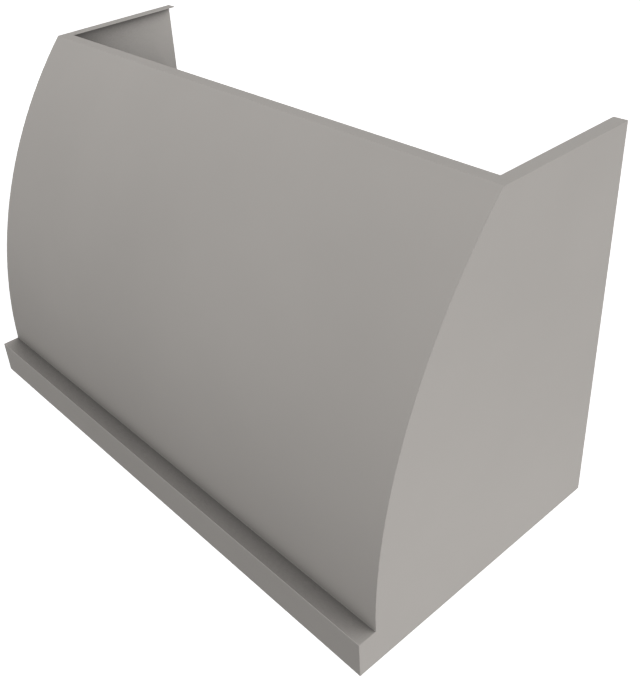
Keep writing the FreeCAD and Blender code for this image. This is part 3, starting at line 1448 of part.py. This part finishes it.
def write():
    """Checks every object, then writes each sub-part."""
    broken = [item.Label for item in doc.Objects if {"Invalid", "Error"} & set(item.State)]
    broken += [item.Label for item in pieces if item.Shape.isNull() or not item.Shape.isValid()]
    if broken:
        raise ValueError(f"not built: {broken}")
    os.makedirs("parts", exist_ok=True)
    for item in pieces:
        item.Shape.exportStep(os.path.join("parts", f"{item.Label}.step"))


build()
write()
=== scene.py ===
import json
import math

import bmesh
import bpy
from mathutils import Matrix, Vector


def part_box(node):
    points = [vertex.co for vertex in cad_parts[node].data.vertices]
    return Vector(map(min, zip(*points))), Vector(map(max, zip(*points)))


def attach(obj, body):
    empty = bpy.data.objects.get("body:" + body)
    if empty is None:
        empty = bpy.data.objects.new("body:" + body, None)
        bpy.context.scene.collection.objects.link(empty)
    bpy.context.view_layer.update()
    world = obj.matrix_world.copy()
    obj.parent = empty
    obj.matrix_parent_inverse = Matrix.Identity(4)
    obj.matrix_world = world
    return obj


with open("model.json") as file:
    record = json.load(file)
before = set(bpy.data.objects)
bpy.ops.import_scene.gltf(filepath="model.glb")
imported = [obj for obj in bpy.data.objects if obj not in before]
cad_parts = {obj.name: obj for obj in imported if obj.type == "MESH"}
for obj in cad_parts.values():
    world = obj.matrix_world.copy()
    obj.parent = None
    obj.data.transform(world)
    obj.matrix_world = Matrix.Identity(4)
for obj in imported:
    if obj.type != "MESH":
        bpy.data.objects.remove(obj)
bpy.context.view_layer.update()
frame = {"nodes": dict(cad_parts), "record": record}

# Camera
CAMERA_PLACE = (1.29500, -1.26488, 1.31716)
CAMERA_TURN = (58.2068, 4.3437, 49.2453)
CAMERA_LENS = 49.107
CAMERA_SENSOR = 36.0
CAMERA_SHIFT = (0.07604, -0.06103)

# Studio
FLOOR_HEIGHT = -3.0
FLOOR_SIZE = 40.0
FLOOR_SHADE = 0.05
FLOOR_SHOWN = 1.5
DOME_STRENGTH = 0.03
DOME_SHOWN = 1.0
LIGHT_SPREAD = 35.0
LIGHTS = {
    # name: azimuth, elevation, strength
    "key": (80.0, 13.0, 0.89),
    "fill": (300.0, 42.0, 0.765),
    "back": (200.0, 2.0, 0.40),
    "bounce": (0.0, -90.0, 0.25),
}

# Colours
# Black that inside corners are mixed toward as painted shade
PAINTED_SHADE_BLACK = (0.0, 0.0, 0.0, 1.0)
WHITE = (1.0, 1.0, 1.0, 1.0)

# Painted shade in inside corners: its reach and, for faces that look to the front or back, to a side and
# up, the open share of the view at which it is darkest and the share of colour that is left there
COAT_PAINTED_SHADE = {"reach": 0.45, "front": (0.42, 0.50), "side": (0.58, 0.30), "level": (0.42, 0.12)}
STEEL_PAINTED_SHADE = {"reach": 0.03, "front": (0.42, 0.30), "side": (0.42, 0.30), "level": (0.42, 0.20)}
# Open share of the view at which a corner has no painted shade
PAINTED_SHADE_OPEN = 0.95
# Part of a face's normal along an axis from which it starts to count as facing that way for the painted
# corner shade, and counts in full
FACING_START = 0.5
FACING_FULL = 0.9

# Span of a noise texture that runs from the low value to the high one
NOISE_START = 0.3
NOISE_END = 0.7
# Stretch of the grain in brushed steel
STEEL_ALONG_X = (0.06, 9.0, 9.0)
STEEL_ALONG_Y = (9.0, 0.06, 9.0)
# Sockets of the colour mix node, some of which share a name
MIX_FACTOR = 0
MIX_DARK = 6
MIX_LIGHT = 7
MIX_RESULT = 2

# Screws and rivets
SCREW_RADIUS = 0.0045
WASHER_SIDES = 20
HEXAGON_SIDES = 6
RIVET_RADIUS = 0.0032
RIVET_SIDES = 18
SHARP_ANGLE = 35.0
FLANGE_SHEET = 0.001
# Distance from the middle of a head to the edge of its sheet
PLENUM_INSET = 0.005
BLOWER_INSET = 0.006
COVER_INSET = 0.012
FILTER_INSET = 0.007
# Room at both ends of a row of heads: on a flange a number of insets, on the lid a length
ACROSS_MARGIN = 4
ALONG_MARGIN = 8
LID_MARGIN = 0.05
# Depth that the hinge takes up behind a filter's frame
FILTER_HINGE = 0.0105
# Ways that a head faces
UP = (0, 0, 1)
DOWN = (0, 0, -1)
LEFT = (-1, 0, 0)


class Shader:
    """A node material with a few helpers for procedural texture."""

    def __init__(self, name):
        self.material = bpy.data.materials.new(name)
        self.material.use_nodes = True
        self.tree = self.material.node_tree
        self.surface = self.tree.nodes["Principled BSDF"]
        coordinates = self.tree.nodes.new("ShaderNodeTexCoord").outputs
        self.place = coordinates["Object"]
        self.facing = coordinates["Normal"]

    def node(self, kind, **inputs):
        made = self.tree.nodes.new(kind)
        for name, number in inputs.items():
            made.inputs[name.replace("_", " ")].default_value = number
        return made

    def link(self, output, target):
        self.tree.links.new(output, target)

    def give(self, socket, source):
        """Sets a socket to a number or colour, or links it to an output."""
        if isinstance(source, (float, tuple)):
            socket.default_value = source
        else:
            self.link(source, socket)

    def noise(self, scale, detail=3.0, stretch=(1.0, 1.0, 1.0)):
        mapping = self.node("ShaderNodeMapping", Scale=stretch)
        self.link(self.place, mapping.inputs["Vector"])
        texture = self.node("ShaderNodeTexNoise", Scale=scale, Detail=detail)
        self.link(mapping.outputs["Vector"], texture.inputs["Vector"])
        return texture.outputs["Fac"]

    def cells(self, scale):
        texture = self.node("ShaderNodeTexVoronoi", Scale=scale)
        self.link(self.place, texture.inputs["Vector"])
        separate = self.tree.nodes.new("ShaderNodeSeparateColor")
        self.link(texture.outputs["Color"], separate.inputs["Color"])
        return separate.outputs["Red"]

    def ranged(self, source, low, high, start=NOISE_START, end=NOISE_END, blend="LINEAR"):
        made = self.tree.nodes.new("ShaderNodeMapRange")
        made.interpolation_type = blend
        self.give(made.inputs["From Min"], start)
        self.give(made.inputs["From Max"], end)
        self.give(made.inputs["To Min"], low)
        self.give(made.inputs["To Max"], high)
        self.link(source, made.inputs["Value"])
        return made.outputs["Result"]

    def mixed(self, factor, dark, light):
        """Gives the surface a mix of two colours, and returns it."""
        mix = self.tree.nodes.new("ShaderNodeMix")
        mix.data_type = "RGBA"
        self.link(factor, mix.inputs[MIX_FACTOR])
        self.give(mix.inputs[MIX_DARK], dark)
        self.give(mix.inputs[MIX_LIGHT], light)
        self.link(mix.outputs[MIX_RESULT], self.surface.inputs["Base Color"])
        return mix.outputs[MIX_RESULT]

    def tinted(self, source, dark, light, start=NOISE_START, end=NOISE_END):
        factor = self.ranged(source, 0.0, 1.0, start, end)
        return self.mixed(factor, (*dark, 1.0), (*light, 1.0))

    def directions(self):
        """How far a face looks to either side, and how far up."""
        axes = self.tree.nodes.new("ShaderNodeSeparateXYZ")
        self.link(self.facing, axes.inputs["Vector"])
        either = self.tree.nodes.new("ShaderNodeMath")
        either.operation = "ABSOLUTE"
        self.link(axes.outputs["X"], either.inputs[0])
        return either.outputs["Value"], axes.outputs["Z"]

    def corners(self, colour, painted_shade):
        """Paints shade into inside corners from ambient occlusion, with its own strength for faces that
        look to the front or back, to a side, and up.
        """
        closed, share = painted_shade["front"]
        for way, direction in zip(("side", "level"), self.directions()):
            way_closed, way_share = painted_shade[way]
            closed = self.ranged(direction, closed, way_closed, FACING_START, FACING_FULL)
            share = self.ranged(direction, share, way_share, FACING_START, FACING_FULL)
        near = self.node("ShaderNodeAmbientOcclusion", Distance=painted_shade["reach"])
        shade = self.ranged(near.outputs["AO"], share, 1.0, closed, PAINTED_SHADE_OPEN, "SMOOTHSTEP")
        # Painted shade: the colour is mixed toward black where little of the view is open
        self.mixed(shade, PAINTED_SHADE_BLACK, colour)

    def rough(self, source, low, high):
        self.link(self.ranged(source, low, high), self.surface.inputs["Roughness"])

    def bump(self, source, strength, distance):
        made = self.node("ShaderNodeBump", Strength=strength, Distance=distance)
        self.link(source, made.inputs["Height"])
        self.link(made.outputs["Normal"], self.surface.inputs["Normal"])

    def set(self, **inputs):
        for name, number in inputs.items():
            self.surface.inputs[name.replace("_", " ")].default_value = number


# Materials

def shaded(colour, share):
    return tuple(channel * share for channel in colour)


def paint(name, colour, roughness, gloss, spread=0.03):
    """Powder coat: an even colour with a faint orange peel, and painted shade in inside corners."""
    s = Shader(name)
    patches = s.noise(scale=2.2, detail=4.0)
    coat = s.tinted(patches, shaded(colour, 1 - spread), shaded(colour, 1 + spread))
    # Painted shade: inside corners of the coat darken toward black
    s.corners(coat, COAT_PAINTED_SHADE)
    peel = s.noise(scale=900.0, detail=2.0)
    s.rough(peel, low=roughness - 0.04, high=roughness + 0.04)
    s.bump(peel, strength=0.05, distance=0.0004)
    s.set(Specular_IOR_Level=gloss)
    return s.material


def zinc(name, colour):
    """Zinc-coated sheet with its spangle, and painted shade in inside corners."""
    s = Shader(name)
    spangle = s.cells(scale=70.0)
    sheet = s.tinted(spangle, shaded(colour, 0.86), shaded(colour, 1.08), start=0.0, end=1.0)
    # Painted shade: inside corners of the sheet darken toward black
    s.corners(sheet, STEEL_PAINTED_SHADE)
    s.rough(spangle, low=0.36, high=0.52)
    s.bump(s.noise(scale=260.0), strength=0.03, distance=0.0004)
    s.set(Metallic=0.85)
    return s.material


def brushed(name, colour, stretch, roughness=0.32):
    """Brushed steel: the lines run along the axis with the small number. Inside corners get painted shade.
    """
    s = Shader(name)
    lines = s.noise(scale=40.0, detail=5.0, stretch=stretch)
    sheet = s.tinted(lines, shaded(colour, 0.84), shaded(colour, 1.10))
    # Painted shade: inside corners of the sheet darken toward black
    s.corners(sheet, STEEL_PAINTED_SHADE)
    s.rough(lines, low=roughness - 0.06, high=roughness + 0.08)
    s.bump(lines, strength=0.06, distance=0.0003)
    s.set(Metallic=1.0)
    return s.material


def polished(name, colour, roughness=0.14):
    """Smooth metal with faint smudges."""
    s = Shader(name)
    smudge = s.noise(scale=55.0, detail=4.0)
    s.tinted(smudge, shaded(colour, 0.95), shaded(colour, 1.04))
    s.rough(smudge, low=roughness - 0.04, high=roughness + 0.08)
    s.set(Metallic=1.0)
    return s.material


def plastic(name, colour, roughness):
    """Moulded plastic with a fine grain."""
    s = Shader(name)
    grain = s.noise(scale=700.0, detail=2.0)
    s.tinted(s.noise(scale=18.0), shaded(colour, 0.92), shaded(colour, 1.08))
    s.rough(grain, low=roughness - 0.05, high=roughness + 0.05)
    s.bump(grain, strength=0.05, distance=0.0003)
    return s.material


def frosted(name, dark, light):
    """Lamp lens, etched inside."""
    s = Shader(name)
    etched = s.noise(scale=500.0)
    s.tinted(etched, dark, light)
    s.rough(etched, low=0.28, high=0.42)
    s.bump(etched, strength=0.08, distance=0.0003)
    s.set(Transmission_Weight=0.25, IOR=1.49)
    return s.material


def circuit(name, dark, light):
    """Circuit board in patches of two greens."""
    s = Shader(name)
    s.tinted(s.cells(scale=240.0), dark, light, start=0.35, end=0.65)
    s.rough(s.noise(scale=300.0), low=0.3, high=0.45)
    return s.material


looks = {
    "shell_paint": paint("shell_paint", (0.448, 0.426, 0.404), roughness=0.62, gloss=0.02),
    "zinc_steel": zinc("zinc_steel", (0.55, 0.57, 0.59)),
    "fastener_steel": polished("fastener_steel", (0.60, 0.60, 0.58), roughness=0.30),
    "liner_steel": brushed("liner_steel", (0.47, 0.465, 0.455), STEEL_ALONG_X),
    "filter_steel": brushed("filter_steel", (0.50, 0.495, 0.485), STEEL_ALONG_Y),
    "bright_steel": polished("bright_steel", (0.70, 0.70, 0.70)),
    "magnet_black": plastic("magnet_black", (0.045, 0.045, 0.05), roughness=0.45),
    "bezel_chrome": polished("bezel_chrome", (0.74, 0.74, 0.74), roughness=0.12),
    "lens_glass": frosted("lens_glass", (0.86, 0.88, 0.88), (0.95, 0.96, 0.95)),
    "cast_aluminium": polished("cast_aluminium", (0.66, 0.67, 0.68), roughness=0.42),
    "fascia_black": plastic("fascia_black", (0.022, 0.022, 0.024), roughness=0.16),
    "button_metal": polished("button_metal", (0.62, 0.62, 0.62), roughness=0.28),
    "board_green": circuit("board_green", (0.01, 0.10, 0.045), (0.03, 0.22, 0.09)),
    "case_plastic": plastic("case_plastic", (0.05, 0.05, 0.055), roughness=0.55),
    "motor_paint": paint("motor_paint", (0.035, 0.038, 0.042), roughness=0.42, gloss=0.3),
    "seal_foam": plastic("seal_foam", (0.03, 0.03, 0.032), roughness=0.9),
}
for entry in frame["record"]["subparts"]:
    mesh = frame["nodes"][entry["node"]].data
    mesh.materials.clear()
    mesh.materials.append(looks[entry["material_slot"]])


# Fasteners

def lathe(mesh, profile, sides, seat):
    """Turns pairs of radius and height about a seat's Z axis into a closed form."""
    angles = [2 * math.pi * step / sides for step in range(sides)]
    rings = []
    for radius, height in profile:
        ring = [Vector((radius * math.cos(angle), radius * math.sin(angle), height)) for angle in angles]
        rings.append([mesh.verts.new(seat @ point) for point in ring])
    for lower, upper in zip(rings, rings[1:]):
        for step in range(sides):
            following = (step + 1) % sides
            mesh.faces.new((lower[step], lower[following], upper[following], upper[step]))
    mesh.faces.new(reversed(rings[0]))
    mesh.faces.new(rings[-1])


def scaled(profile, size):
    return [(radius * size, height * size) for radius, height in profile]


def rivet(mesh, radius, seat):
    """Blind rivet: a low dome with the mandrel's hole."""
    dome = ((1.0, 0.0), (0.97, 0.10), (0.80, 0.24), (0.55, 0.33), (0.40, 0.34), (0.36, 0.20))
    lathe(mesh, scaled(dome, radius), RIVET_SIDES, seat)


def screw(mesh, radius, seat):
    """Sheet-metal screw: a hexagon with a dimple, on a washer."""
    washer = ((1.0, 0.0), (1.0, 0.12), (0.90, 0.20), (0.70, 0.22))
    lathe(mesh, scaled(washer, radius), WASHER_SIDES, seat)
    hexagon = ((0.66, 0.21), (0.66, 0.66), (0.54, 0.76), (0.40, 0.76), (0.30, 0.62))
    lathe(mesh, scaled(hexagon, radius), HEXAGON_SIDES, seat)


def fasteners(name, head, radius, spots, body="hood"):
    """One piece of like heads. A spot is a place and the way that the head faces."""
    mesh = bmesh.new()
    for place, facing in spots:
        turn = Vector(facing).to_track_quat("Z", "Y").to_matrix().to_4x4()
        head(mesh, radius, Matrix.Translation(place) @ turn)
    data = bpy.data.meshes.new(name)
    mesh.to_mesh(data)
    mesh.free()
    data.shade_smooth()
    data.set_sharp_from_angle(angle=math.radians(SHARP_ANGLE))
    data.materials.append(looks["fastener_steel"])
    item = bpy.data.objects.new(name, data)
    bpy.context.scene.collection.objects.link(item)
    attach(item, body)


def spaced(low, high, count, margin):
    """Even steps between two ends, with a margin at each end."""
    reach = high - low - 2 * margin
    return [low + margin + reach * step / (count - 1) for step in range(count)]


def flange_spots(node, inset, across, along, rear=True):
    """Places along a flange that lies flat at the foot of a node."""
    low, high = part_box(node)
    level = low[2] + FLANGE_SHEET
    rows = (low[1] + inset, high[1] - inset) if rear else (low[1] + inset,)
    columns = (low[0] + inset, high[0] - inset)
    places = [(x, y) for y in rows for x in spaced(low[0], high[0], across, ACROSS_MARGIN * inset)]
    places += [(x, y) for x in columns for y in spaced(low[1], high[1], along, ALONG_MARGIN * inset)]
    return [((x, y, level), UP) for x, y in places]


def rim_spots(node, margin, across, along):
    """Places round the turned-down rim of a node."""
    low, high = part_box(node)
    level = (low[2] + high[2]) / 2
    spots = []
    for y, way in ((low[1], -1), (high[1], 1)):
        spots += [((x, y, level), (0, way, 0)) for x in spaced(low[0], high[0], across, margin)]
    for x, way in ((low[0], -1), (high[0], 1)):
        spots += [((x, y, level), (way, 0, 0)) for y in spaced(low[1], high[1], along, margin)]
    return spots


def cover_spots(node, inset):
    """Two opposite corners of an upright cover."""
    low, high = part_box(node)
    corners = ((low[1] + inset, high[2] - inset), (high[1] - inset, low[2] + inset))
    return [((low[0], y, z), LEFT) for y, z in corners]


def filter_spots(node, inset, hinge):
    """The four corners under a filter's frame, in front of its hinge."""
    low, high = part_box(node)
    sides = (low[0] + inset, high[0] - inset)
    ends = (low[1] + inset, high[1] - hinge - inset)
    return [((x, y, low[2]), DOWN) for x in sides for y in ends]


plenum_spots = flange_spots("plenum", PLENUM_INSET, across=10, along=4)
fasteners("plenum_rivets", rivet, RIVET_RADIUS, plenum_spots)
box_spots = flange_spots("blower_box", BLOWER_INSET, across=5, along=3)
fasteners("blower_box_screws", screw, SCREW_RADIUS, box_spots)
lid_spots = rim_spots("blower_box_lid", LID_MARGIN, across=4, along=2)
fasteners("blower_lid_screws", screw, SCREW_RADIUS, lid_spots)
transition_spots = flange_spots("discharge_transition", BLOWER_INSET, across=5, along=3, rear=False)
fasteners("transition_screws", screw, SCREW_RADIUS, transition_spots)
fasteners("junction_cover_screws", screw, SCREW_RADIUS, cover_spots("junction_cover", COVER_INSET))
for side in ("left", "center", "right"):
    frame_spots = filter_spots(f"filter_{side}_frame", FILTER_INSET, FILTER_HINGE)
    fasteners(f"filter_{side}_rivets", rivet, RIVET_RADIUS, frame_spots, f"filter_{side}")


# Stage

def seen_directly(tree):
    """One for rays from the camera and for mirrored and clear ones, else zero."""
    path = tree.nodes.new("ShaderNodeLightPath")
    total = path.outputs["Is Camera Ray"]
    for kind in ("Is Glossy Ray", "Is Transmission Ray"):
        either = tree.nodes.new("ShaderNodeMath")
        either.operation = "MAXIMUM"
        tree.links.new(total, either.inputs[0])
        tree.links.new(path.outputs[kind], either.inputs[1])
        total = either.outputs["Value"]
    return total


def two_faced(tree, kind, socket, hidden, shown, output):
    """Joins what lights the object with what is seen behind it."""
    mix = tree.nodes.new("ShaderNodeMixShader")
    tree.links.new(seen_directly(tree), mix.inputs["Fac"])
    for slot, value in ((1, hidden), (2, shown)):
        shader = tree.nodes.new(kind)
        shader.inputs[socket].default_value = value
        tree.links.new(shader.outputs[0], mix.inputs[slot])
    tree.links.new(mix.outputs["Shader"], output.inputs["Surface"])


def grey(shade):
    return (shade, shade, shade, 1.0)


def floor_material():
    """Pale floor that keeps shadows and shows near white to the camera."""
    made = bpy.data.materials.new("floor")
    made.use_nodes = True
    tree = made.node_tree
    tree.nodes.clear()
    out = tree.nodes.new("ShaderNodeOutputMaterial")
    two_faced(tree, "ShaderNodeBsdfDiffuse", "Color", grey(FLOOR_SHADE), grey(FLOOR_SHOWN), out)
    return made


def make_floor():
    """A level floor that the light from below passes through."""
    bpy.ops.mesh.primitive_plane_add(size=FLOOR_SIZE, location=(0.0, 0.0, FLOOR_HEIGHT))
    floor = bpy.context.object
    floor.name = "floor"
    floor.data.materials.append(floor_material())
    floor.visible_shadow = False


def make_world():
    """An even dome for light; the camera sees it white."""
    world = bpy.data.worlds.new("studio")
    bpy.context.scene.world = world
    world.use_nodes = True
    tree = world.node_tree
    tree.nodes.clear()
    out = tree.nodes.new("ShaderNodeOutputWorld")
    two_faced(tree, "ShaderNodeBackground", "Strength", DOME_STRENGTH, DOME_SHOWN, out)
    for node in tree.nodes:
        if node.type == "BACKGROUND":
            node.inputs["Color"].default_value = WHITE


def make_light(name, azimuth, elevation, strength):
    """A broad, distant studio light; one from below is not mirrored in the object."""
    data = bpy.data.lights.new(name, "SUN")
    data.energy = math.pi * strength
    data.angle = math.radians(LIGHT_SPREAD)
    light = bpy.data.objects.new(name, data)
    bpy.context.scene.collection.objects.link(light)
    light.rotation_euler = (math.radians(90.0 - elevation), 0.0, math.radians(azimuth))
    light.visible_glossy = elevation > 0


def make_camera():
    data = bpy.data.cameras.new("camera")
    data.sensor_width = CAMERA_SENSOR
    data.lens = CAMERA_LENS
    data.shift_x, data.shift_y = CAMERA_SHIFT
    camera = bpy.data.objects.new("camera", data)
    bpy.context.scene.collection.objects.link(camera)
    camera.location = CAMERA_PLACE
    camera.rotation_euler = [math.radians(angle) for angle in CAMERA_TURN]
    bpy.context.scene.camera = camera


make_floor()
make_world()
for name, (azimuth, elevation, strength) in LIGHTS.items():
    make_light(name, azimuth, elevation, strength)
make_camera()
bpy.context.scene.view_settings.view_transform = "Standard"
